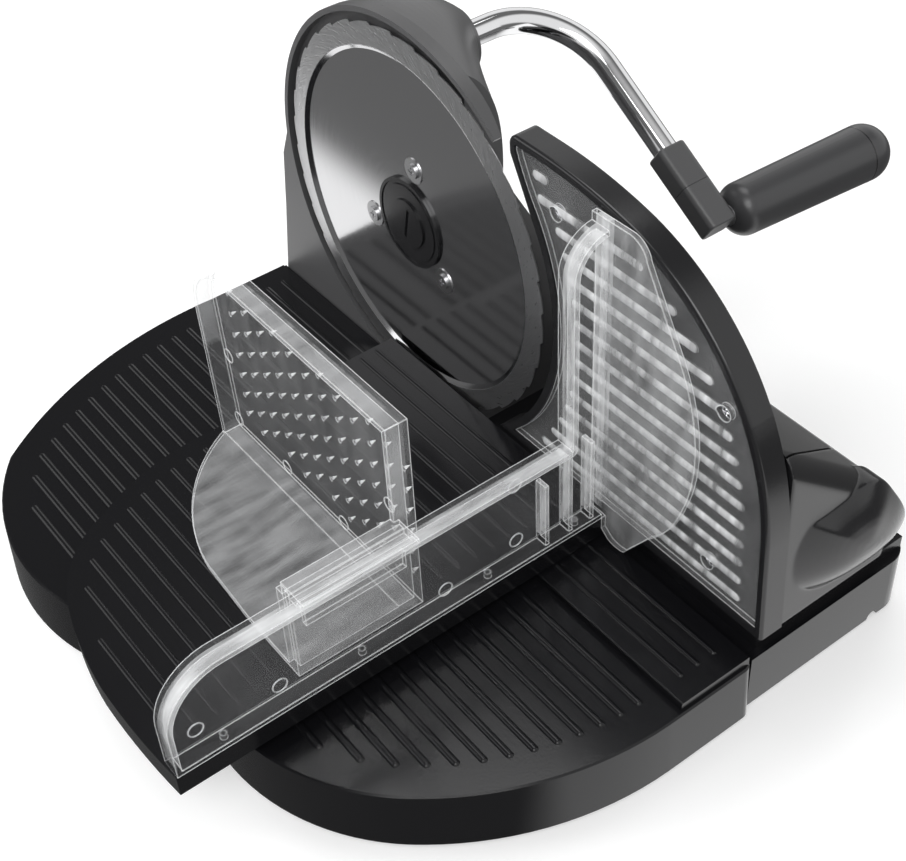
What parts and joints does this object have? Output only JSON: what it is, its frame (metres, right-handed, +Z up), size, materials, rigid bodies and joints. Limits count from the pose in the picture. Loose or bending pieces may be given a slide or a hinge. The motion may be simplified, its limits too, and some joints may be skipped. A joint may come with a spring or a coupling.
{
  "type": "hand crank bread slicer",
  "caption": "Hand cranked bread slicer with an upright scalloped disc blade, sliding food carriage, clear fence and pusher, thickness gauge and a side crank.",
  "frame": {"origin": "on the floor plane under the feet, at the middle of the machine's width and depth", "axes": "+X to the crank's side, along the blade's axis; +Y away from the user, along the carriage's travel; +Z up"},
  "size_m": [0.4276, 0.3659, 0.2316],
  "materials": {
    "black_gloss": "gloss",
    "black_satin": "satin",
    "dark_grey": "satin",
    "clear": "gloss",
    "blade_steel": "satin",
    "steel": "satin",
    "chrome": "polished",
    "gear_plastic": "satin",
    "brass": "satin",
    "rubber": "matte",
    "glide_plastic": "satin"
  },
  "bodies": {
    "base": {"base_body": "black_gloss", "base_bottom_plate": "black_satin", "side_box": "black_gloss", "side_bottom_plate": "black_satin", "base_screws": "steel", "foot_front_left": "rubber", "foot_rear_left": "rubber", "foot_front_right": "rubber", "foot_rear_right": "rubber", "rail_plate": "black_gloss", "idler_pin": "steel", "gear_plate": "steel", "gear_plate_screws": "steel", "shaft_bushes": "brass", "blade_housing": "black_satin", "housing_back_cover": "black_satin", "crank_bush": "brass", "rod_holders": "black_satin", "guide_rods": "steel", "knob_bracket": "black_satin"},
    "crank": {"crank_shaft": "steel", "crank_gear": "gear_plastic", "crank_rod": "chrome", "crank_sleeve": "dark_grey", "crank_end_block": "dark_grey", "handle_spindle": "steel"},
    "handle": {"handle_grip": "dark_grey", "handle_cap": "dark_grey"},
    "idler": {"idler_gear": "gear_plastic"},
    "cutter": {"blade": "blade_steel", "blade_screws": "chrome", "blade_hub": "steel", "blade_pinion": "gear_plastic", "retaining_ring": "steel"},
    "cap": {"hub_cap": "black_satin"},
    "food_carriage": {"carriage": "black_gloss", "guide_shoes": "glide_plastic", "glide_pads": "glide_plastic", "fence": "clear", "fence_screws": "steel"},
    "food_pusher": {"pusher": "clear"},
    "gauge": {"gauge_frame": "black_satin", "gauge_insert": "clear", "gauge_screws": "chrome", "gauge_front_cover": "black_satin", "gauge_carrier": "black_satin", "gauge_back_screws": "steel"},
    "knob": {"thickness_spindle": "steel", "thickness_knob": "black_satin"}
  },
  "joints": [
    {"name": "crank_turn", "type": "hinge", "parent": "base", "child": "crank", "pos_m": [0.09, 0.06846, 0.20037], "axis": [1, 0, 0], "continuous": true},
    {"name": "idler_spin", "type": "hinge", "parent": "base", "child": "idler", "pos_m": [0.05, 0.06086, 0.16519], "axis": [1, 0, 0], "continuous": true},
    {"name": "blade_spin", "type": "hinge", "parent": "base", "child": "cutter", "pos_m": [0.003, 0.05325, 0.13], "axis": [1, 0, 0], "continuous": true},
    {"name": "handle_spin", "type": "hinge", "parent": "crank", "child": "handle", "pos_m": [0.10887, -0.03924, 0.13307], "axis": [0.999, -0.0385, -0.024], "continuous": true},
    {"name": "hub_cap_turn", "type": "hinge", "parent": "cutter", "child": "cap", "pos_m": [0, 0.05325, 0.13], "axis": [1, 0, 0], "range_deg": [0, 90]},
    {"name": "carriage_slide", "type": "slide", "parent": "base", "child": "food_carriage", "axis": [0, 1, 0], "range_m": [-0.085, 0.105]},
    {"name": "pusher_slide", "type": "slide", "parent": "food_carriage", "child": "food_pusher", "axis": [1, 0, 0], "range_m": [-0.034, 0.078]},
    {"name": "gauge_slide", "type": "slide", "parent": "base", "child": "gauge", "axis": [1, 0, 0], "range_m": [0, 0.015]},
    {"name": "thickness_knob_turn", "type": "hinge", "parent": "base", "child": "knob", "pos_m": [0.15, -0.03875, 0.06], "axis": [1, 0, 0], "range_deg": [0, 271]}
  ],
  "couplings": [
    {"joint": "idler_spin", "follows": "crank_turn", "ratio": -1.4},
    {"joint": "blade_spin", "follows": "crank_turn", "ratio": 2.8},
    {"joint": "thickness_knob_turn", "follows": "gauge_slide", "rad_per_m": 314.16}
  ]
}
